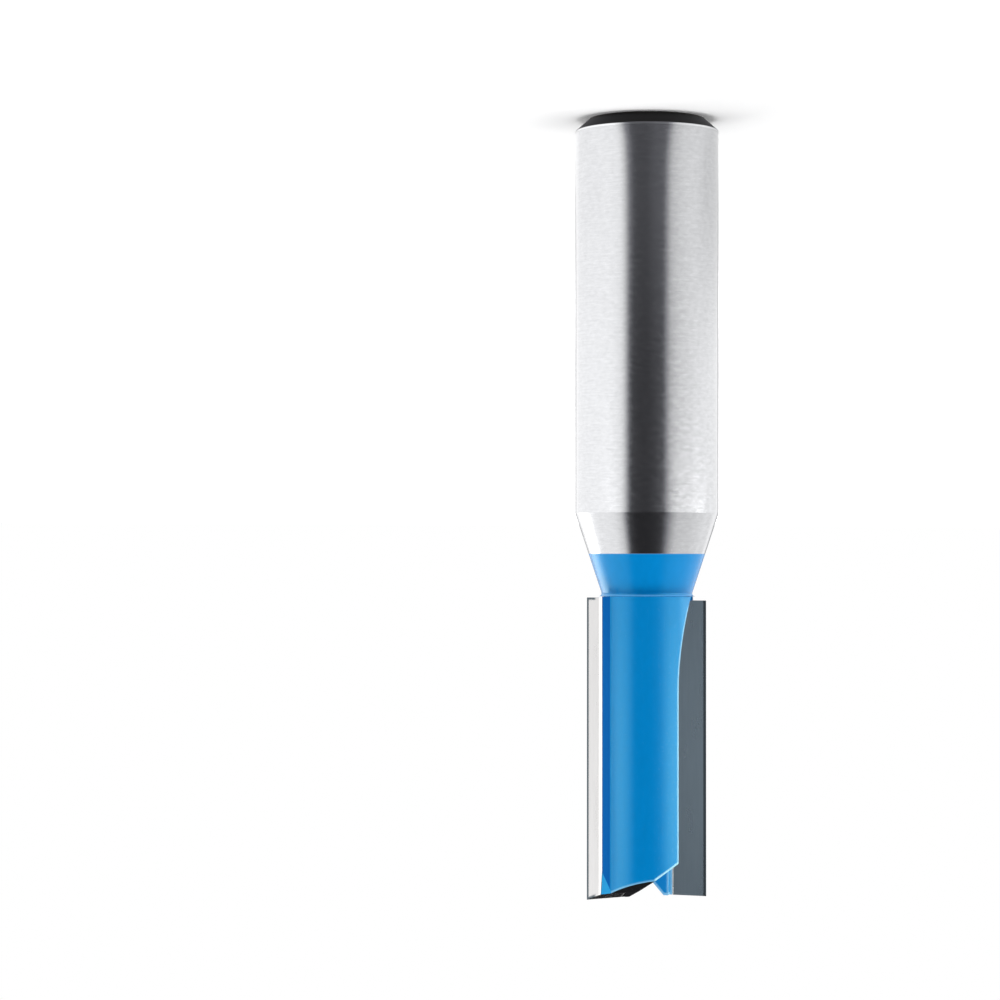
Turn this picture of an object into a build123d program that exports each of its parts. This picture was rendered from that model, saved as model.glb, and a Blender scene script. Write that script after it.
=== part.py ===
from build123d import *
import os
from math import cos, radians, sin, sqrt, tan

# A straight two-flute router bit: one steel body and two carbide tips brazed to it.
# Millimetres and degrees. The axis is +Z, from the centre of the shank's end face to
# the cutting end. Wing b lies along +X and wing a along -X, half a turn away. Seen
# from the cutting end the bit turns counter-clockwise.

# Shank
shank_diameter = 12.7
shank_length = 35.05
shank_chamfer_width = 1.25
shank_chamfer_depth = 1.1

# Taper from the shank down to the ledge where the fluted body starts
taper_length = 7.35
ledge_width = 0.63
ledge_fillet = 0.25

# Fluted length, cutting circle, and the land turned behind the cutting edges
fluted_length = 26.7
cutting_diameter = 11.11
land_drop = 1.0
rake_angle = 6.0
clearance_angle = 19.4

# Carbide tips, their braze, and the steel rib that backs each one
tip_width = 3.0
tip_thickness = 1.6
tip_setback_a = 0.4
tip_setback_b = 0.1
braze_gap = 0.1
rib_thickness = 0.3
rib_fillet = 0.2

# Flutes, ground with a wheel that runs out at the ledge
flute_step = 0.45
flute_corner = 0.3
flute_wheel = 28.0
flute_run_out = 8.5
heel_round = 0.15

# Cutting end
dish_angle = 3.5
primary_relief = 17.5
secondary_relief = 26.5
gash_angle_a = 35.0
gash_depth_a = 1.2
gash_angle_b = 50.0
gash_depth_b = 1.93
gash_tilt = 10.5
gash_clearance = 0.2

# Facet ground on the back corner of each rib at the cutting end
bevel_outer_length = 2.65
bevel_inner_length = 0.87
bevel_angle = 10.0

# Sizes that follow
shank_radius = shank_diameter / 2
cutting_radius = cutting_diameter / 2
land_radius = cutting_radius - land_drop
neck_radius = land_radius - ledge_width
ledge_height = shank_length + taper_length
end_height = ledge_height + fluted_length
pocket_width = tip_width + braze_gap
pocket_depth = tip_thickness + braze_gap
rib_back = pocket_depth + rib_thickness
flute_width = pocket_width + flute_step
clearance_slope = tan(radians(clearance_angle + rake_angle))
overcut = 1.0

# Directions of wing b: inward along its rake face, backward behind it, forward of it
inward = Vector(-cos(radians(rake_angle)), -sin(radians(rake_angle)), 0)
backward = Vector(sin(radians(rake_angle)), -cos(radians(rake_angle)), 0)
forward = -backward


def section_plane(height):
    """Plane across the axis: x runs inward from the cutting edge, y backward."""
    return Plane(origin=(cutting_radius, 0, height), x_dir=inward, z_dir=(0, 0, 1))


def rake_plane():
    """Plane of the rake face: x runs inward from the cutting edge, y along the axis."""
    return Plane(origin=(cutting_radius, 0, 0), x_dir=inward, z_dir=forward)


def inward_at_land(back):
    """Inward distance at which the land begins, a given distance behind the rake face."""
    half = cutting_radius * cos(radians(rake_angle))
    offset = cutting_radius * sin(radians(rake_angle)) + back
    return half - sqrt(land_radius**2 - offset**2)


def forward_at_land(inside):
    """Forward distance at which the land ends, a given distance inward of the cutting edge."""
    offset = cutting_radius * cos(radians(rake_angle)) - inside
    return cutting_radius * sin(radians(rake_angle)) + sqrt(land_radius**2 - offset**2)


def bar(points, start, end):
    """Prism along the axis with corners given as inward and backward distances."""
    return extrude(section_plane(start) * make_face(Polyline(*points, close=True)), end - start)


def both_wings(shape):
    """The shape of wing b and its copy on wing a."""
    return shape + Rot(Z=180) * shape


def turned_shank():
    """Shank with its end chamfer, and the taper down to the ledge."""
    profile = Polyline(
        (0, 0),
        (shank_radius - shank_chamfer_width, 0),
        (shank_radius, shank_chamfer_depth),
        (shank_radius, shank_length),
        (neck_radius, ledge_height),
        (0, ledge_height),
        close=True,
    )
    return revolve(Plane.XZ * make_face(profile), Axis.Z)


def fluted_blank():
    """Land and the two backing ribs, before the flutes are ground."""
    rib = make_face(
        Polyline(
            (pocket_depth * clearance_slope, pocket_depth),
            (rib_back * clearance_slope, rib_back),
            (cutting_radius, rib_back),
            (cutting_radius, pocket_depth),
            close=True,
        )
    )
    section = Plane.XY.offset(ledge_height) * Circle(land_radius)
    section += both_wings(section_plane(ledge_height) * rib)
    root = section_plane(ledge_height).from_local_coords((inward_at_land(rib_back), rib_back, 0))
    roots = [section.vertices().sort_by_distance(point)[0] for point in (root, root.rotate(Axis.Z, 180))]
    return extrude(fillet(roots, rib_fillet), end_height - ledge_height)


def flute_wall():
    """Line and wheel arc that the flute's wall follows, on the rake plane."""
    full_depth = ledge_height + flute_run_out
    shallow = flute_width - flute_wheel + sqrt(flute_wheel**2 - flute_run_out**2)
    wall = Line((flute_width, end_height + overcut), (flute_width, full_depth))
    return wall, TangentArc(wall @ 1, (shallow, ledge_height), tangent=(0, -1))


def flute():
    """Cutter in front of the rake plane, with the wheel's run-out up to the ledge."""
    wall, run_out = flute_wall()
    rim = Polyline(run_out @ 1, (-overcut, ledge_height), (-overcut, end_height + overcut), wall @ 0)
    plane = rake_plane()
    cutter = extrude(plane * make_face([wall, run_out, rim]), cutting_diameter)
    middles = [plane.from_local_coords(curve @ 0.5) for curve in flute_wall()]
    corner = [cutter.edges().sort_by_distance(point)[0] for point in middles]
    return fillet(corner, flute_corner)


def heel_points():
    """A point on each stretch of the edge where the flute's wall meets the land."""
    points = []
    for curve in flute_wall():
        middle = curve @ 0.5
        local = (middle.X, middle.Y, forward_at_land(middle.X))
        points.append(rake_plane().from_local_coords(local))
    return points


def tip_pocket():
    """Slot in the body that takes the tip and its braze."""
    corners = [(-overcut, 0), (pocket_width, 0), (pocket_width, pocket_depth), (-overcut, pocket_depth)]
    return bar(corners, ledge_height, end_height + overcut)


def end_relief():
    """Cutter behind the end cutting edge: dish, primary relief, then secondary relief."""
    dish = radians(dish_angle)
    edge = inward * cos(dish) + Vector(0, 0, -sin(dish))
    plane = Plane(origin=(cutting_radius, 0, end_height), x_dir=backward, z_dir=edge)
    primary = tan(radians(primary_relief))
    secondary = tan(radians(secondary_relief))
    profile = Polyline(
        (-gash_clearance, gash_clearance * primary),
        (rib_back, -rib_back * primary),
        (cutting_diameter, -rib_back * primary - (cutting_diameter - rib_back) * secondary),
        (cutting_diameter, overcut),
        (-gash_clearance, overcut),
        close=True,
    )
    cutter = extrude(plane * make_face(profile), cutting_diameter)
    return cutter + extrude(plane * make_face(profile), -overcut)


def gash(angle, depth):
    """Cutter that opens the web in front of one wing; depth is taken at the axis."""
    slope = tan(radians(angle))
    foot = Vector(cutting_radius, 0, end_height) + inward * cutting_radius * cos(radians(rake_angle))
    plane = Plane(origin=foot + forward * gash_clearance, x_dir=-inward, z_dir=forward)
    profile = Polyline(
        (-(depth + overcut) / slope, -overcut),
        (cutting_radius, -overcut),
        (cutting_radius, depth + slope * cutting_radius),
        close=True,
    )
    sweep = forward + Vector(0, 0, -tan(radians(gash_tilt)))
    return extrude(plane * make_face(profile), cutting_diameter, dir=sweep)


def rib_bevel():
    """Cutter for the facet on the back corner of the rib at the cutting end."""
    outer = Vector(rib_back * clearance_slope, end_height - bevel_outer_length)
    inner = Vector(inward_at_land(rib_back), end_height - bevel_inner_length)
    hinge = inner - outer
    start = outer - hinge * (overcut / hinge.X)
    plane = Plane(origin=Vector(cutting_radius, 0, 0) + backward * rib_back, x_dir=inward, z_dir=forward)
    profile = Polyline(
        (start.X, start.Y),
        (inner.X, inner.Y),
        (inner.X, end_height + overcut),
        (start.X, end_height + overcut),
        close=True,
    )
    block = extrude(plane * make_face(profile), -overcut)
    origin = plane.from_local_coords((outer.X, outer.Y, 0))
    direction = plane.from_local_coords((inner.X, inner.Y, 0)) - origin
    return block.rotate(Axis(origin, direction), bevel_angle)


def tool_body():
    """The one-piece steel body."""
    body = turned_shank() + fluted_blank()
    ledge = body.edges().filter_by(GeomType.CIRCLE).filter_by(
        lambda edge: abs(edge.radius - neck_radius) < 1e-6 and abs(edge.center().Z - ledge_height) < 1e-6
    )
    body = fillet(ledge, ledge_fillet)
    body -= both_wings(flute())
    heels = [point for middle in heel_points() for point in (middle, middle.rotate(Axis.Z, 180))]
    body = fillet([body.edges().sort_by_distance(point)[0] for point in heels], heel_round)
    body -= both_wings(tip_pocket())
    body -= both_wings(end_relief())
    body -= gash(gash_angle_b, gash_depth_b)
    body -= Rot(Z=180) * gash(gash_angle_a, gash_depth_a)
    body -= both_wings(rib_bevel())
    return body


def carbide_tip(setback):
    """Tip of wing b, set back from the ledge and ground with the body."""
    corners = [
        (0, 0),
        (tip_width, 0),
        (tip_width, tip_thickness),
        (tip_thickness * clearance_slope, tip_thickness),
    ]
    return bar(corners, ledge_height + setback, end_height) - end_relief()


def braze_seam(setback):
    """Braze of wing b, behind the tip and along its inner side."""
    corners = [
        (tip_width, 0),
        (pocket_width, 0),
        (pocket_width, pocket_depth),
        (pocket_depth * clearance_slope, pocket_depth),
        (tip_thickness * clearance_slope, tip_thickness),
        (tip_width, tip_thickness),
    ]
    return bar(corners, ledge_height + setback, end_height) - end_relief()


os.makedirs("parts", exist_ok=True)
export_step(tool_body(), "parts/tool_body.step")
for wing, turn, setback in (("a", 180, tip_setback_a), ("b", 0, tip_setback_b)):
    export_step(Rot(Z=turn) * carbide_tip(setback), f"parts/carbide_tip_{wing}.step")
    export_step(Rot(Z=turn) * braze_seam(setback), f"parts/braze_seam_{wing}.step")
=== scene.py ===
"""Looks of a straight two-flute router bit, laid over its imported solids.

The bit stands on the end of its shank at the origin, with its axis on Z and its
cutting end up. Wing b lies along +X and wing a along -X, half a turn away.
Scene units are metres, and sizes on the bit are written in millimetres times MM.
"""

import logging
from dataclasses import dataclass, field
from enum import Enum
from math import cos, pi, radians, sin, tan

import bpy
from mathutils import Matrix, Vector

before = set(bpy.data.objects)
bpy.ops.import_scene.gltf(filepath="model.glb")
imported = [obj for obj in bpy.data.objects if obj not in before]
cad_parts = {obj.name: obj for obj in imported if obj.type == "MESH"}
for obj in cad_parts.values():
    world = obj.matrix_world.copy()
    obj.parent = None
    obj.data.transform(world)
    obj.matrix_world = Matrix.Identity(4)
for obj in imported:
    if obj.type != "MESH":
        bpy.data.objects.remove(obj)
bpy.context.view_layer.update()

MM = 0.001

# Degrees round the axis, on from -Y, at which the camera stands
CAMERA_AZIMUTH = 18.156
# Octaves of a soft noise and of a fine one
SOFT, FINE = 2.0, 3.0

Color = tuple[float, float, float]
Grain = tuple[float, float, float]
Direction = tuple[float, float, float]
Stops = tuple[tuple[float, float], ...]
Socket = bpy.types.NodeSocket
log = logging.getLogger("router_bit")

WHITE: Color = (1.0, 1.0, 1.0)


class Slot(Enum):
    """Material slots of the record that the nodes take their finish from."""

    STEEL = "tool_steel"
    CARBIDE = "carbide"
    BRAZE = "braze"


class Num:
    """A number in a node tree, on which Python's operators add Math nodes."""

    def __init__(self, graph: "Graph", socket: Socket) -> None:
        """Wraps a socket of the graph's tree."""
        self.graph = graph
        self.socket = socket

    def math(self, operation: str, *values: "Num | float") -> "Num":
        """Adds a Math node.

        Args:
            operation: The node's operation.
            values: Its inputs, in order.

        Returns:
            The node's result.
        """
        node = self.graph.node("Math", {"operation": operation}, dict(enumerate(values)))
        return Num(self.graph, node.outputs[0])

    def __add__(self, other: "Num | float") -> "Num":
        """Sum."""
        return self.math("ADD", self, other)

    def __sub__(self, other: "Num | float") -> "Num":
        """Difference."""
        return self.math("SUBTRACT", self, other)

    def __rsub__(self, other: float) -> "Num":
        """Difference from a plain number."""
        return self.math("SUBTRACT", other, self)

    def __mul__(self, other: "Num | float") -> "Num":
        """Product."""
        return self.math("MULTIPLY", self, other)

    def __abs__(self) -> "Num":
        """Size without sign."""
        return self.math("ABSOLUTE", self)

    __radd__ = __add__
    __rmul__ = __mul__

    def root(self) -> "Num":
        """Square root."""
        return self.math("SQRT", self)

    def sign(self) -> "Num":
        """1 above zero and -1 below it."""
        return self.math("SIGN", self)

    def ramp(self, start: float, end: float) -> "Num":
        """Runs smoothly from 0 to 1 between two values, in either direction.

        Args:
            start: The value at which the ramp is 0.
            end: The value at which it is 1.

        Returns:
            The ramp, which stays 0 before the start and 1 past the end.
        """
        low, high = min(start, end), max(start, end)
        first, last = (0.0, 1.0) if start < end else (1.0, 0.0)
        inputs = {0: self, 1: low, 2: high, 3: first, 4: last}
        node = self.graph.node("MapRange", {"interpolation_type": "SMOOTHSTEP"}, inputs)
        return Num(self.graph, node.outputs[0])


class Graph:
    """The node tree of a material or of the world, built from Python."""

    def __init__(self, owner: bpy.types.ID) -> None:
        """Empties the owner's tree.

        Args:
            owner: The material or world.
        """
        owner.use_nodes = True
        self.tree = owner.node_tree
        self.tree.nodes.clear()

    def node(self, kind: str, settings: dict | None = None, inputs: dict | None = None) -> bpy.types.Node:
        """Adds a node.

        Args:
            kind: The node's type, without the prefix ShaderNode.
            settings: Its properties, which are set first.
            inputs: Plain values, colours, sockets or Nums, by socket name or number.

        Returns:
            The new node.
        """
        made = self.tree.nodes.new("ShaderNode" + kind)
        for name, value in (settings or {}).items():
            setattr(made, name, value)
        for key, value in (inputs or {}).items():
            socket = made.inputs[key]
            value = value.socket if isinstance(value, Num) else value
            if isinstance(value, Socket):
                self.tree.links.new(value, socket)
            elif socket.type == "RGBA":
                socket.default_value = (*value, 1.0)
            else:
                socket.default_value = value
        return made

    def number(
        self, kind: str, output: str | int, settings: dict | None = None, inputs: dict | None = None
    ) -> Num:
        """Adds a node as node() does, and returns one of its outputs as a number."""
        return Num(self, self.node(kind, settings, inputs).outputs[output])

    def split(self, vector: Socket) -> tuple[Num, Num, Num]:
        """X, Y and Z of a vector."""
        axes = self.node("SeparateXYZ", inputs={0: vector}).outputs
        return Num(self, axes[0]), Num(self, axes[1]), Num(self, axes[2])

    def coordinates(self, output: str = "Object") -> Socket:
        """The point on the surface, or with "Normal" the way that it faces."""
        return self.node("TexCoord").outputs[output]

    def point(self) -> tuple[Num, Num, Num]:
        """X, Y and Z of the point on the surface, in metres."""
        return self.split(self.coordinates())

    def height(self) -> Num:
        """How far the point lies above the end of the shank, in metres."""
        return self.point()[2]

    def radius(self) -> Num:
        """How far the point lies from the axis, in metres."""
        x, y, _ = self.point()
        return (x * x + y * y).root()

    def facing(self) -> tuple[Num, Num, Num]:
        """X, Y and Z of the way that the surface faces."""
        return self.split(self.coordinates("Normal"))

    def noise(self, grain: Grain, detail: float = SOFT) -> Num:
        """Noise on the object, about from -0.5 to 0.5 and centred on 0.

        Args:
            grain: Size of one grain along X, Y and Z, in millimetres.
            detail: Number of finer octaves.

        Returns:
            The noise.
        """
        scale = tuple(1.0 / (size * MM) for size in grain)
        point = self.node("VectorMath", {"operation": "MULTIPLY"}, {0: self.coordinates(), 1: scale})
        inputs = {"Vector": point.outputs[0], "Scale": 1.0, "Detail": detail}
        return self.number("TexNoise", "Fac", inputs=inputs) - 0.5

    def edges(self, width: float, bare: float = 0.965, full: float = 0.83) -> Num:
        """1 on sharp outer edges, where the solid ends close behind the surface.

        Args:
            width: How far the test for an edge reaches, in metres.
            bare: Share of open rays at which the band ends.
            full: Share of open rays at which it is full.

        Returns:
            The band.
        """
        settings = {"samples": 8, "inside": True, "only_local": True}
        return self.number("AmbientOcclusion", "AO", settings, {"Distance": width}).ramp(bare, full)

    def show(self, shader: Socket) -> None:
        """Makes a shader the surface of the material."""
        self.node("OutputMaterial", inputs={"Surface": shader})

    def mix(self, share: "Num | float", first: "Color | Socket", second: "Color | Socket") -> Socket:
        """Mixes two colours.

        Args:
            share: How much of the second shows, from 0 to 1.
            first: One colour.
            second: The other colour.

        Returns:
            The mixed colour.
        """
        return self.node("Mix", {"data_type": "RGBA"}, {0: share, 6: first, 7: second}).outputs[2]

    def mottle(self, noise: Num, pair: "tuple[Color | Socket, Color | Socket]") -> Socket:
        """Mixes a dark and a light shade by a noise that is centred on 0."""
        return self.mix(noise + 0.5, *pair)


def shades(color: Color, spread: float) -> tuple[Color, Color]:
    """A darker and a lighter shade of a colour, which differ from it by a share of its strength."""
    return tuple(c * (1.0 - spread) for c in color), tuple(c * (1.0 + spread) for c in color)


@dataclass
class Layer:
    """What a finish gives each point of a surface, with its relief in millimetres."""

    color: "Color | Socket"
    roughness: "Num | float"
    metallic: "Num | float"
    relief: "Num | float"

    def under(self, top: "Layer", share: Num) -> "Layer":
        """This layer with another one over it.

        Args:
            top: The layer on top.
            share: Where the top layer lies, from 0 to 1.

        Returns:
            The two as one layer.
        """
        return Layer(
            share.graph.mix(share, self.color, top.color),
            self.roughness + (top.roughness - self.roughness) * share,
            self.metallic + (top.metallic - self.metallic) * share,
            self.relief + (top.relief - self.relief) * share,
        )

    def shader(self, graph: Graph, edge_radius: float, gloss: float = 0.5, tint: Color = WHITE) -> Socket:
        """Makes a shader of the layer.

        Args:
            graph: Tree of the material.
            edge_radius: Radius to which edges look rounded, in metres.
            gloss: Specular level of a surface that isn't metal.
            tint: Colour of that gloss.

        Returns:
            The shader's output.
        """
        edge = graph.node("Bevel", {"samples": 4}, {"Radius": edge_radius}).outputs[0]
        relief = {"Strength": 1.0, "Distance": MM, "Height": self.relief, "Normal": edge}
        inputs = {
            "Base Color": self.color,
            "Roughness": self.roughness,
            "Metallic": self.metallic,
            "IOR": 1.5,
            "Specular IOR Level": gloss,
            "Specular Tint": tint,
            "Normal": graph.node("Bump", inputs=relief).outputs[0],
        }
        return graph.node("BsdfPrincipled", inputs=inputs).outputs[0]


@dataclass(frozen=True)
class GroundSteel:
    """Bright ground steel, with scratches that run round the axis.

    The depth of its relief is in millimetres, as on the other finishes.
    """

    color: Color = (0.62, 0.625, 0.64)
    spread: float = 0.10
    scratch: Grain = (1.8, 1.8, 0.05)
    cloud: Grain = (0.6, 0.6, 0.3)
    roughness: float = 0.16
    unevenness: float = 0.10
    depth: float = 0.0010

    def layer(self, graph: Graph) -> Layer:
        """Makes the finish in a material's tree.

        Args:
            graph: Tree of the material.

        Returns:
            The layer.
        """
        clouds = graph.noise(self.cloud)
        marks = graph.noise(self.scratch, FINE) + clouds
        color = graph.mottle(marks, shades(self.color, self.spread))
        return Layer(color, clouds * self.unevenness + self.roughness, 1.0, marks * self.depth)


@dataclass(frozen=True)
class BlackEnd:
    """Black finish of the shank's end face and chamfer."""

    color: Color = (0.031, 0.030, 0.029)
    spread: float = 0.20
    grain: Grain = (0.12, 0.12, 0.12)
    roughness: float = 0.42
    unevenness: float = 0.12
    depth: float = 0.004

    def layer(self, graph: Graph) -> Layer:
        """Makes the finish in a material's tree.

        Args:
            graph: Tree of the material.

        Returns:
            The layer.
        """
        grain = graph.noise(self.grain, FINE)
        color = graph.mottle(grain, shades(self.color, self.spread))
        return Layer(color, grain * self.unevenness + self.roughness, 1.0, grain * self.depth)


@dataclass(frozen=True)
class BlueCoating:
    """Glossy blue coating with the faint peel of a sprayed film.

    It carries painted light: pale blue painted highlights on sharp edges and in the fillet under the
    ledge, a paler painted blue on the rib's end facet for the light it catches, and painted shade in a
    deeper blue on the back of each rib, where its corner is shaded.
    """

    color: Color = (0.0, 0.212, 0.555)
    spread: float = 0.06
    rib_painted_shade: Color = (0.0, 0.125, 0.47)
    facet_painted_light: Color = (0.03, 0.36, 0.74)
    edge_highlight_color: Color = (0.50, 0.88, 1.0)
    edge_width: float = 0.24 * MM
    edge_start: float = 43.0 * MM
    edge_blend: float = 0.5 * MM
    weak_edge: float = 0.4
    gash_reach: float = 0.6 * MM
    gash_blend: float = 0.2 * MM
    wing_angle: float = radians(18.2)
    ledge_highlight_color: Color = (0.10, 0.42, 0.82)
    ledge_height: float = 42.30 * MM
    ledge_reach: float = 0.13 * MM
    peel: Grain = (0.5, 0.5, 0.9)
    roughness: float = 0.21
    unevenness: float = 0.06
    depth: float = 0.0012
    gloss: float = 0.6
    gloss_tint: Color = (0.34, 0.97, 1.0)

    def edges(self, graph: Graph) -> Num:
        """Finds the sharp outer edges above the ledge.

        Args:
            graph: Tree of the material.

        Returns:
            1 on the edges from the gash to the heel, and the weak edge's share along the relief.
        """
        x, y, height = graph.point()
        along = (x * cos(self.wing_angle) + y * sin(self.wing_angle)) * y.sign()
        strong = along.ramp(self.gash_reach, self.gash_reach + self.gash_blend)
        strength = strong * (1.0 - self.weak_edge) + self.weak_edge
        above = height.ramp(self.edge_start, self.edge_start + self.edge_blend)
        return graph.edges(self.edge_width) * strength * above

    def layer(self, graph: Graph, rib: Num, facet: Num) -> Layer:
        """Makes the finish in a material's tree.

        Args:
            graph: Tree of the material.
            rib: 1 on the back of each rib.
            facet: 1 on the facet at the end of each rib.

        Returns:
            The layer.
        """
        peel = graph.noise(self.peel)
        color = graph.mottle(peel, shades(self.color, self.spread))
        # Painted highlight: the fillet under the ledge is coloured a paler blue for the light along it.
        ledge = abs(graph.height() - self.ledge_height).ramp(self.ledge_reach, 0.0)
        color = graph.mix(ledge, color, self.ledge_highlight_color)
        # Painted highlight: pale blue lines along the sharp edges, for the light their rounding catches.
        color = graph.mix(self.edges(graph) * (1.0 - rib) * (1.0 - facet), color, self.edge_highlight_color)
        # Painted shade: the back of each rib is coloured a deeper blue for the shade in its corner.
        color = graph.mix(rib, color, self.rib_painted_shade)
        # Painted light: the facet at the end of each rib is coloured a paler blue for the light it
        # catches.
        color = graph.mix(facet, color, self.facet_painted_light)
        return Layer(color, peel * self.unevenness + self.roughness, 0.0, peel * self.depth)


@dataclass(frozen=True)
class GroundCarbide:
    """Grey carbide, ground along the bit, so its scratches run along Z.

    The rake faces are painted a darker, bluish grey than the rest, a painted reflection of the dark
    surroundings they face, and carry painted shade along the cutting edge.
    """

    color: Color = (0.56, 0.553, 0.55)
    rake_painted_reflection: Color = (0.243, 0.309, 0.360)
    spread: float = 0.06
    rake: float = radians(6.0)
    rake_cosines: tuple[float, float] = (0.97, 0.99)
    edge_shade_share: float = 0.30
    edge_width: float = 0.27 * MM
    edge_start: float = 5.25 * MM
    edge_blend: float = 0.05 * MM
    scratch: Grain = (0.11, 0.11, 3.5)
    cloud: Grain = (0.8, 0.8, 4.0)
    roughness: float = 0.28
    unevenness: float = 0.05
    depth: float = 0.0003

    def layer(self, graph: Graph) -> Layer:
        """Makes the finish in a material's tree.

        Args:
            graph: Tree of the material.

        Returns:
            The layer.
        """
        scratches = graph.noise(self.scratch, FINE)
        clouds = graph.noise(self.cloud)
        along_x, along_y, _ = graph.facing()
        along_rake = abs(along_x * -sin(self.rake) + along_y * cos(self.rake))
        # Painted reflection: the rake faces take a darker, bluish grey for the dark surroundings they
        # mirror.
        on_rake = along_rake.ramp(*self.rake_cosines)
        pairs = zip(shades(self.color, self.spread), shades(self.rake_painted_reflection, self.spread))
        low, high = (graph.mix(on_rake, ground, rake) for ground, rake in pairs)
        color = graph.mottle(scratches + clouds, (low, high))
        # Painted shade: a dark band along the outer cutting edge of each tip.
        outer = graph.radius().ramp(self.edge_start, self.edge_start + self.edge_blend)
        dark = tuple(c * self.edge_shade_share for c in self.rake_painted_reflection)
        color = graph.mix(graph.edges(self.edge_width) * outer, color, dark)
        return Layer(color, clouds * self.unevenness + self.roughness, 1.0, scratches * self.depth)


@dataclass(frozen=True)
class SilverBraze:
    """Silver braze, ground off level with the tip that it holds."""

    color: Color = (0.88, 0.87, 0.84)
    spread: float = 0.06
    grain: Grain = (0.2, 0.2, 0.6)
    roughness: float = 0.30
    unevenness: float = 0.20
    depth: float = 0.004

    def layer(self, graph: Graph) -> Layer:
        """Makes the finish in a material's tree.

        Args:
            graph: Tree of the material.

        Returns:
            The layer.
        """
        grain = graph.noise(self.grain, FINE)
        color = graph.mottle(grain, shades(self.color, self.spread))
        return Layer(color, grain * self.unevenness + self.roughness, 1.0, grain * self.depth)


def assign(node: str, material: bpy.types.Material) -> bpy.types.Object:
    """Puts a material in every slot of a node.

    Args:
        node: Name of the node.
        material: Its finish.

    Returns:
        The node's object.
    """
    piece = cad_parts[node]
    for place in piece.material_slots:
        place.material = material
    return piece


@dataclass
class ToolBody:
    """The steel body: ground shank, black end, blue neck and flutes, bare ribs and end relief.

    Directions are those on wing b, as unit vectors. Cosines tell how closely a face must look
    a given way: below the first it isn't marked, and above the second it is.
    """

    node: str = "tool_body"
    slot: Slot = Slot.STEEL
    black_height: float = 1.06 * MM
    black_blend: float = 0.05 * MM
    rim_height: float = 1.19 * MM
    rim_reach: float = 0.09 * MM
    steel_edge_highlight: Color = (0.84, 0.85, 0.86)
    coating_start: float = 38.60 * MM
    coating_blend: float = 0.12 * MM
    cutting_radius: float = 5.555 * MM
    rake: float = radians(6.0)
    clearance: float = radians(19.4)
    rib_start: float = 42.2 * MM
    rib_front: float = 1.6 * MM
    rib_reach: float = 0.06 * MM
    rib_blend: float = 0.05 * MM
    relief_start: float = 60.0 * MM
    relief_blend: float = 1.0 * MM
    relief_cosines: tuple[float, float] = (0.85, 0.87)
    rib_back: Direction = (0.1045, -0.9945, 0.0)
    rib_facet: Direction = (0.2597, -0.9629, 0.0728)
    rib_cosines: tuple[float, float] = (0.992, 0.997)
    rib_inside: float = 2.0 * MM
    rib_inside_blend: float = 0.1 * MM
    steel_edge_radius: float = 0.005 * MM
    film_edge_radius: float = 0.08 * MM
    steel: GroundSteel = GroundSteel()
    black: BlackEnd = BlackEnd()
    blue: BlueCoating = BlueCoating()

    def black_part(self, graph: Graph) -> Num:
        """1 on the end face and chamfer of the shank."""
        return graph.height().ramp(self.black_height + self.black_blend, self.black_height)

    def rim(self, graph: Graph) -> Num:
        """1 on the edge between the shank and its chamfer, which gets a painted highlight."""
        return abs(graph.height() - self.rim_height).ramp(self.rim_reach, 0.5 * self.rim_reach)

    def blue_part(self, graph: Graph) -> Num:
        """1 where the coating starts and above."""
        return graph.height().ramp(self.coating_start, self.coating_start + self.coating_blend)

    def bare_rib(self, graph: Graph) -> Num:
        """Finds the rib's part of each wing's clearance face, which was ground with the tip.

        Args:
            graph: Tree of the material.

        Returns:
            1 on that part of both wings.
        """
        x, y, height = graph.point()
        side = x.sign()
        out, along = x * side - self.cutting_radius, y * side
        inward = out * -cos(self.rake) + along * -sin(self.rake)
        backward = out * sin(self.rake) + along * -cos(self.rake)
        off_face = abs(inward - backward * tan(self.rake + self.clearance))
        on_face = off_face.ramp(self.rib_reach, 0.5 * self.rib_reach)
        above = height.ramp(self.rib_start, self.rib_start + self.rib_blend)
        return on_face * above * backward.ramp(self.rib_front - self.rib_blend, self.rib_front)

    def bare_relief(self, graph: Graph) -> Num:
        """Finds the end relief, which was ground with the tips.

        Args:
            graph: Tree of the material.

        Returns:
            1 on the relief.
        """
        up = graph.facing()[2].ramp(*self.relief_cosines)
        return up * graph.height().ramp(self.relief_start, self.relief_start + self.relief_blend)

    def rib_face(self, graph: Graph, way: Direction) -> Num:
        """Finds the faces of the ribs that look one way.

        Args:
            graph: Tree of the material.
            way: That way on wing b.

        Returns:
            1 on those faces of both wings.
        """
        x = graph.point()[0]
        along_x, along_y, up = graph.facing()
        along = (along_x * way[0] + along_y * way[1]) * x.sign() + up * way[2]
        outside = abs(x).ramp(self.rib_inside, self.rib_inside + self.rib_inside_blend)
        return along.ramp(*self.rib_cosines) * outside

    def dress(self) -> bpy.types.Object:
        """Gives the body's node its material.

        Returns:
            The node's object.
        """
        material = bpy.data.materials.new(f"{self.slot.value}_finish")
        graph = Graph(material)
        rib_edge = self.bare_rib(graph)
        steel = self.steel.layer(graph)
        # Painted highlight: the rib edge and the rim are coloured brighter than the steel for the light
        # their edges catch; the rib edge is also really bare ground steel.
        steel.color = graph.mix(rib_edge + self.rim(graph), steel.color, self.steel_edge_highlight)
        bare = rib_edge + self.bare_relief(graph) * (1.0 - rib_edge)
        coated = self.blue_part(graph) * (1.0 - bare)
        metal = steel.under(self.black.layer(graph), self.black_part(graph))
        rib, facet = (self.rib_face(graph, way) for way in (self.rib_back, self.rib_facet))
        film = self.blue.layer(graph, rib, facet)
        # Formats that hold one shader a material keep the first, so it has the whole finish.
        whole = metal.under(film, coated).shader(graph, self.steel_edge_radius)
        glossy = film.shader(graph, self.film_edge_radius, self.blue.gloss, self.blue.gloss_tint)
        graph.show(graph.node("MixShader", inputs={0: coated, 1: whole, 2: glossy}).outputs[0])
        return assign(self.node, material)


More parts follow.
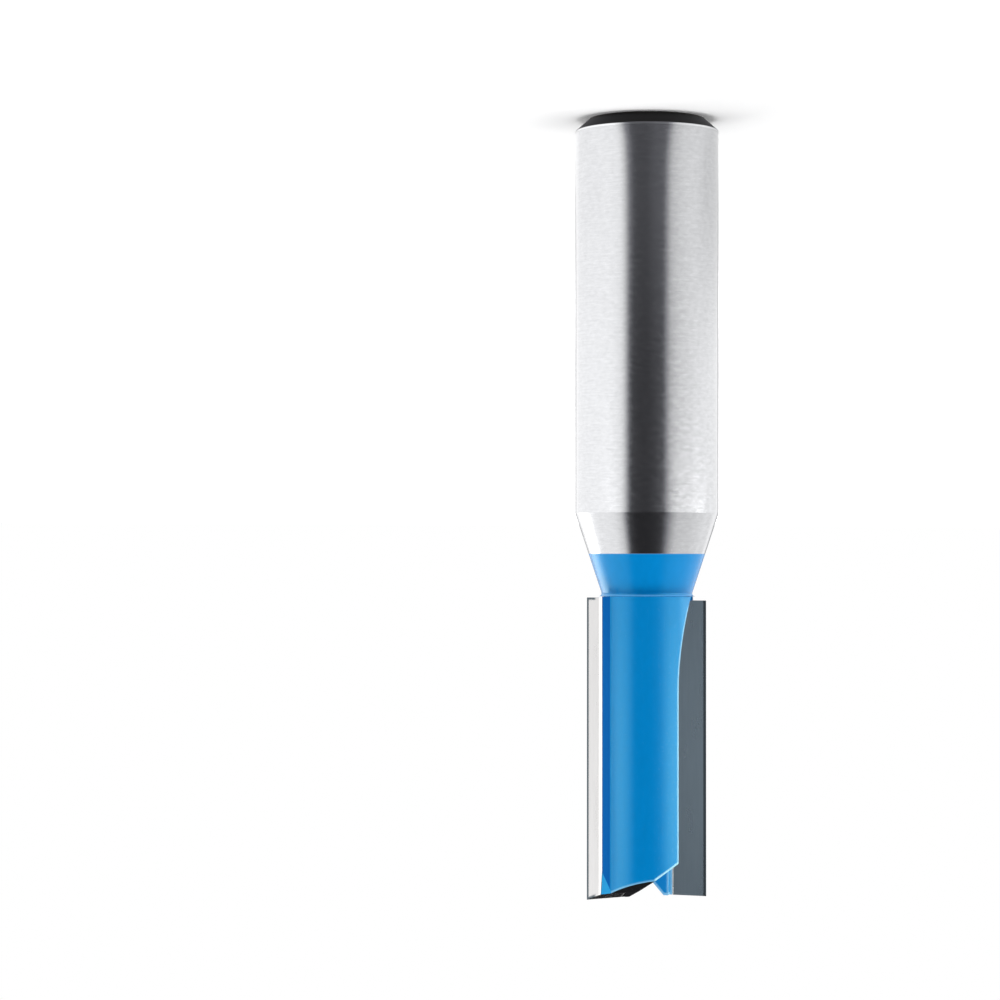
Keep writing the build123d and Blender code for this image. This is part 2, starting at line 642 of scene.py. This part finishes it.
@dataclass
class CuttingEdge:
    """A carbide tip and the braze that holds it, on one wing."""

    wing: str
    edge_radius: float = 0.03 * MM
    carbide: GroundCarbide = GroundCarbide()
    braze: SilverBraze = SilverBraze()

    def dress(self) -> list[bpy.types.Object]:
        """Gives the tip and its braze their materials.

        Returns:
            The two nodes' objects.
        """
        pieces = []
        for node, slot, finish in (
            (f"carbide_tip_{self.wing}", Slot.CARBIDE, self.carbide),
            (f"braze_seam_{self.wing}", Slot.BRAZE, self.braze),
        ):
            name = f"{slot.value}_finish"
            material = bpy.data.materials.get(name)
            if material is None:
                material = bpy.data.materials.new(name)
                graph = Graph(material)
                graph.show(finish.layer(graph).shader(graph, self.edge_radius))
            pieces.append(assign(node, material))
        return pieces


def toward(bearing: float, elevation: float = 0.0) -> Vector:
    """Gives a direction from the bit.

    Args:
        bearing: Degrees round the axis from the camera, positive to the camera's right as it
            stands with its top to the floor.
        elevation: Degrees above the floor.

    Returns:
        The unit vector.
    """
    around, up = radians(CAMERA_AZIMUTH - bearing), radians(elevation)
    return Vector((sin(around) * cos(up), -cos(around) * cos(up), sin(up)))


def white_where_seen(graph: Graph, seen_level: float, lit_level: float) -> Num:
    """Gives the brightness of the room, which is one for the eye and another for what it lights.

    Args:
        graph: Tree of the material or world.
        seen_level: Brightness to the camera, in mirrors and through glass.
        lit_level: Brightness as a light.

    Returns:
        The brightness.
    """
    rays = graph.node("LightPath").outputs
    seen = sum(Num(graph, rays[f"Is {kind} Ray"]) for kind in ("Camera", "Glossy", "Transmission"))
    return seen.ramp(0.0, 1.0) * (seen_level - lit_level) + lit_level


@dataclass(frozen=True)
class Softbox:
    """A lamp with an even white front, turned to the bit. Angles are as for toward()."""

    name: str
    bearing: float
    elevation: float
    distance: float
    width: float
    height: float
    radiance: float
    mirrored: bool = True

    def light(self, aim: Vector) -> bpy.types.Object:
        """Builds the lamp.

        Args:
            aim: The point that it faces.

        Returns:
            The lamp's object.
        """
        data = bpy.data.lights.new(self.name, "AREA")
        data.shape, data.size, data.size_y = "RECTANGLE", self.width, self.height
        data.energy = pi * self.radiance * self.width * self.height
        lamp = bpy.data.objects.new(self.name, data)
        back = toward(self.bearing, self.elevation)
        lamp.location = aim + back * self.distance
        lamp.rotation_euler = back.to_track_quat("Z", "Y").to_euler()
        lamp.visible_camera = False
        lamp.visible_glossy = self.mirrored
        bpy.context.scene.collection.objects.link(lamp)
        return lamp


@dataclass(frozen=True)
class Ring:
    """One ring of the drum: its size in metres, and how bright it is at stops round the axis."""

    radius: float
    height: float
    stops: Stops

    def level(self, bearing: float) -> float:
        """Gives the brightness between two stops.

        Args:
            bearing: Degrees from the camera, from -180 to 180.

        Returns:
            The brightness there.
        """
        for (start, low), (end, high) in zip(self.stops, self.stops[1:]):
            if start <= bearing <= end:
                return low + (high - low) * (bearing - start) / (end - start)
        return self.stops[-1][1]


def all_round(level: float) -> Stops:
    """Stops of a ring that is equally bright all round."""
    return ((-180.0, level), (180.0, level))


# Bearing in degrees, and brightness there
FLOOR_NEAR = (
    (-180.0, 0.40), (-166.0, 0.45), (-156.0, 1.25), (-60.0, 1.30), (-41.0, 1.26), (-34.0, 0.88),
    (-27.5, 0.28), (-20.0, 0.115), (-14.0, 0.10), (0.0, 0.10), (11.0, 0.14), (26.0, 0.155),
    (31.0, 0.38), (37.5, 0.76), (51.0, 0.92), (66.0, 1.00), (82.0, 1.00), (100.0, 0.89), (156.0, 0.88),
    (166.0, 0.30), (180.0, 0.40),
)
FLOOR_FAR = (
    (-180.0, 0.40), (-166.0, 0.45), (-156.0, 1.32), (-90.0, 1.40), (-60.0, 1.35), (-41.0, 1.18),
    (-35.0, 0.82), (-28.5, 0.15), (-23.0, 0.06), (0.0, 0.055), (12.0, 0.07), (26.0, 0.10),
    (31.0, 0.33), (37.5, 0.64), (51.0, 0.86), (82.0, 1.08), (120.0, 1.24), (156.0, 1.20),
    (166.0, 0.30), (180.0, 0.40),
)
LOW_WALL = (
    (-180.0, 0.40), (-166.0, 0.45), (-156.0, 1.30), (-102.0, 1.38), (-94.0, 1.20), (-88.0, 0.50),
    (-82.0, 0.90), (-74.0, 3.00), (-62.0, 3.60), (-50.0, 2.90), (-40.0, 1.80), (-32.0, 0.40),
    (-26.0, 0.04), (0.0, 0.03), (12.0, 0.08), (18.0, 0.35), (24.0, 0.50), (29.0, 0.80), (36.0, 1.80),
    (44.0, 3.40), (54.0, 4.60), (66.0, 5.20), (82.0, 3.40), (120.0, 1.40), (156.0, 1.20),
    (166.0, 0.30), (180.0, 0.40),
)
HIGH_WALL = (
    (-180.0, 0.02), (-162.0, 0.02), (-152.0, 1.60), (-144.0, 3.20), (-130.0, 3.80), (-119.0, 3.00),
    (-110.0, 1.50), (-98.0, 1.25), (-80.0, 1.25), (-60.0, 1.18), (-46.0, 0.92), (-40.0, 0.48),
    (-35.0, 0.06), (-20.0, 0.03), (0.0, 0.03), (16.0, 0.04), (29.0, 0.06), (36.0, 0.20), (42.0, 0.44),
    (57.0, 0.84), (75.0, 0.88), (94.0, 0.94), (118.0, 1.10), (148.0, 1.00), (158.0, 0.02),
    (180.0, 0.02),
)
UNDER_BIT = all_round(0.35)
DARK = all_round(0.015)
DIM = all_round(0.03)
HALF_LIT = all_round(0.50)

# Sizes of the drum in metres
CENTRE = 0.0001
CARD_HEIGHT = 0.0003
WALL = 0.3900
CEILING = 0.5000


@dataclass(frozen=True)
class Drum:
    """Part of a drum of white and dark cards that stands round the bit.

    Where a card is dark, it has the tint of a shaded wall.
    """

    name: str
    rings: tuple[Ring, ...]
    lights: bool
    shade: Color = (0.965, 0.97, 1.06)
    shaded_level: float = 0.15
    white_level: float = 0.70
    columns: int = 180

    def mesh(self) -> bpy.types.Mesh:
        """Builds the bands between the rings, with the brightness as an attribute.

        Returns:
            The mesh.
        """
        wide = self.columns + 1
        bearings = [-180.0 + 360.0 * i / self.columns for i in range(wide)]
        corners = [(ring, bearing) for ring in self.rings for bearing in bearings]
        points = [toward(bearing) * ring.radius + Vector((0, 0, ring.height)) for ring, bearing in corners]
        starts = [r * wide + i for r in range(len(self.rings) - 1) for i in range(self.columns)]
        faces = [(start, start + 1, start + wide + 1, start + wide) for start in starts]
        mesh = bpy.data.meshes.new(self.name)
        mesh.from_pydata(points, [], faces)
        levels = [ring.level(bearing) for ring, bearing in corners]
        mesh.attributes.new("level", "FLOAT", "POINT").data.foreach_set("value", levels)
        return mesh

    def cards(self) -> bpy.types.Material:
        """Makes the glow of the cards.

        Returns:
            The material.
        """
        material = bpy.data.materials.new(self.name)
        material.cycles.emission_sampling = "NONE"
        graph = Graph(material)
        level = graph.number("Attribute", "Fac", {"attribute_name": "level"})
        color = graph.mix(level.ramp(self.shaded_level, self.white_level), self.shade, WHITE)
        graph.show(graph.node("Emission", inputs={"Color": color, "Strength": level}).outputs[0])
        return material

    def stand(self) -> bpy.types.Object:
        """Builds the part, which the camera doesn't see.

        Returns:
            The part's object.
        """
        mesh = self.mesh()
        mesh.materials.append(self.cards())
        drum = bpy.data.objects.new(self.name, mesh)
        bpy.context.scene.collection.objects.link(drum)
        drum.visible_camera = drum.visible_transmission = False
        drum.visible_diffuse = drum.visible_shadow = self.lights
        return drum


@dataclass
class Studio:
    """White room with a pale floor, soft lamps, the drum round the bit, and the camera."""

    room_seen: float = 1.0
    room_light: float = 1.35
    floor_size: float = 6.0
    floor_drop: float = 0.01 * MM
    floor_color: Color = (0.74, 0.74, 0.74)
    floor_roughness: float = 0.9
    floor_glow: float = 0.75
    near_glow: Color = (0.13, 0.13, 0.13)
    shadow_reach: float = 70.0 * MM
    glow_reach: float = 210.0 * MM
    aim: Vector = field(default_factory=lambda: Vector((0.0, 0.0, 39.255 * MM)))
    aim_pixel: tuple[float, float] = (646.88, 560.65)
    frame_pixels: float = 1000.0
    camera_distance: float = 275.0 * MM
    clip: tuple[float, float] = (0.01, 20.0)
    lens: float = 111.446
    roll: float = radians(0.028)
    lamps: tuple[Softbox, ...] = (
        Softbox(
            "top_softbox", bearing=10.0, elevation=68.0, distance=0.35, width=0.30, height=0.30,
            radiance=2.6, mirrored=False,
        ),
        Softbox(
            "right_strip", bearing=95.0, elevation=6.5, distance=0.35, width=0.18, height=0.06,
            radiance=4.0,
        ),
    )
    drum: tuple[Drum, ...] = (
        Drum("floor_cards", (
            Ring(CENTRE, CARD_HEIGHT, UNDER_BIT),
            Ring(0.0085, CARD_HEIGHT, UNDER_BIT),
            Ring(0.0110, CARD_HEIGHT, FLOOR_NEAR),
            Ring(0.0600, CARD_HEIGHT, FLOOR_NEAR),
            Ring(0.3000, CARD_HEIGHT, FLOOR_FAR),
            Ring(WALL, CARD_HEIGHT, FLOOR_FAR),
        ), lights=False),
        Drum("wall_cards", (
            Ring(WALL, CARD_HEIGHT, FLOOR_FAR),
            Ring(WALL, 0.0450, FLOOR_FAR),
            Ring(WALL, 0.0660, LOW_WALL),
            Ring(WALL, 0.1050, LOW_WALL),
            Ring(WALL, 0.1250, HIGH_WALL),
            Ring(WALL, 0.3700, HIGH_WALL),
            Ring(WALL, 0.4300, DARK),
            Ring(WALL, CEILING, DARK),
        ), lights=True),
        Drum("ceiling_cards", (
            Ring(WALL, CEILING, DARK),
            Ring(0.2500, CEILING, DIM),
            Ring(CENTRE, CEILING, HALF_LIT),
        ), lights=False),
    )

    def world(self) -> None:
        """Lights the room evenly, and lets it be seen as white."""
        world = bpy.data.worlds.new("room")
        bpy.context.scene.world = world
        graph = Graph(world)
        strength = white_where_seen(graph, self.room_seen, self.room_light)
        room = graph.node("Background", inputs={"Color": WHITE, "Strength": strength})
        graph.node("OutputWorld", inputs={"Surface": room.outputs[0]})

    def floor_finish(self) -> bpy.types.Material:
        """Makes the floor's finish, which shows the bit's shadow near it and white further out.

        Returns:
            The material.
        """
        material = bpy.data.materials.new("floor")
        graph = Graph(material)
        far = graph.radius().ramp(self.shadow_reach, self.glow_reach)
        inputs = {
            "Base Color": self.floor_color,
            "Roughness": self.floor_roughness,
            "Emission Color": graph.mix(far, self.near_glow, WHITE),
            "Emission Strength": white_where_seen(graph, self.floor_glow, 0.0),
        }
        graph.show(graph.node("BsdfPrincipled", inputs=inputs).outputs[0])
        return material

    def floor(self) -> bpy.types.Object:
        """Lays the floor under the shank's end.

        Returns:
            The floor's object.
        """
        half = self.floor_size / 2
        corners = [(x * half, y * half, -self.floor_drop) for x, y in ((-1, -1), (1, -1), (1, 1), (-1, 1))]
        mesh = bpy.data.meshes.new("floor")
        mesh.from_pydata(corners, [], [(0, 1, 2, 3)])
        mesh.materials.append(self.floor_finish())
        floor = bpy.data.objects.new("floor", mesh)
        bpy.context.scene.collection.objects.link(floor)
        return floor

    def camera(self) -> bpy.types.Object:
        """Places the camera with its top towards the floor, turned so that the aim lands on its pixel.

        Returns:
            The camera's object.
        """
        data = bpy.data.cameras.new("camera")
        data.lens = self.lens
        data.clip_start, data.clip_end = self.clip
        back = toward(0.0)
        up = Vector((0.0, 0.0, -1.0))
        basis = Matrix((up.cross(back), up, back)).transposed()
        focal = self.lens / data.sensor_width * self.frame_pixels
        x, y = (p - self.frame_pixels / 2 for p in self.aim_pixel)
        ahead = Vector((0.0, 0.0, -1.0))
        turn = Vector((x, -y, -focal)).normalized().rotation_difference(ahead).to_matrix()
        pose = basis @ turn @ Matrix.Rotation(self.roll, 3, "Z")
        camera = bpy.data.objects.new("camera", data)
        camera.matrix_world = Matrix.Translation(self.aim + back * self.camera_distance) @ pose.to_4x4()
        bpy.context.scene.collection.objects.link(camera)
        bpy.context.scene.camera = camera
        return camera

    def build(self) -> None:
        """Builds the room, its lamps, the drum and the camera."""
        self.world()
        self.floor()
        for lamp in self.lamps:
            lamp.light(self.aim)
        for part in self.drum:
            part.stand()
        self.camera()
        bpy.context.scene.view_settings.view_transform = "Standard"


def main() -> None:
    """Builds the studio, dresses the bit and reports each piece."""
    logging.basicConfig(level=logging.INFO, format="%(name)s: %(message)s")
    Studio().build()
    pieces = [ToolBody().dress()]
    for wing in ("a", "b"):
        pieces += CuttingEdge(wing).dress()
    for piece in pieces:
        log.info("%s dressed in %s", piece.name, piece.material_slots[0].material.name)


if __name__ == "__main__":
    main()
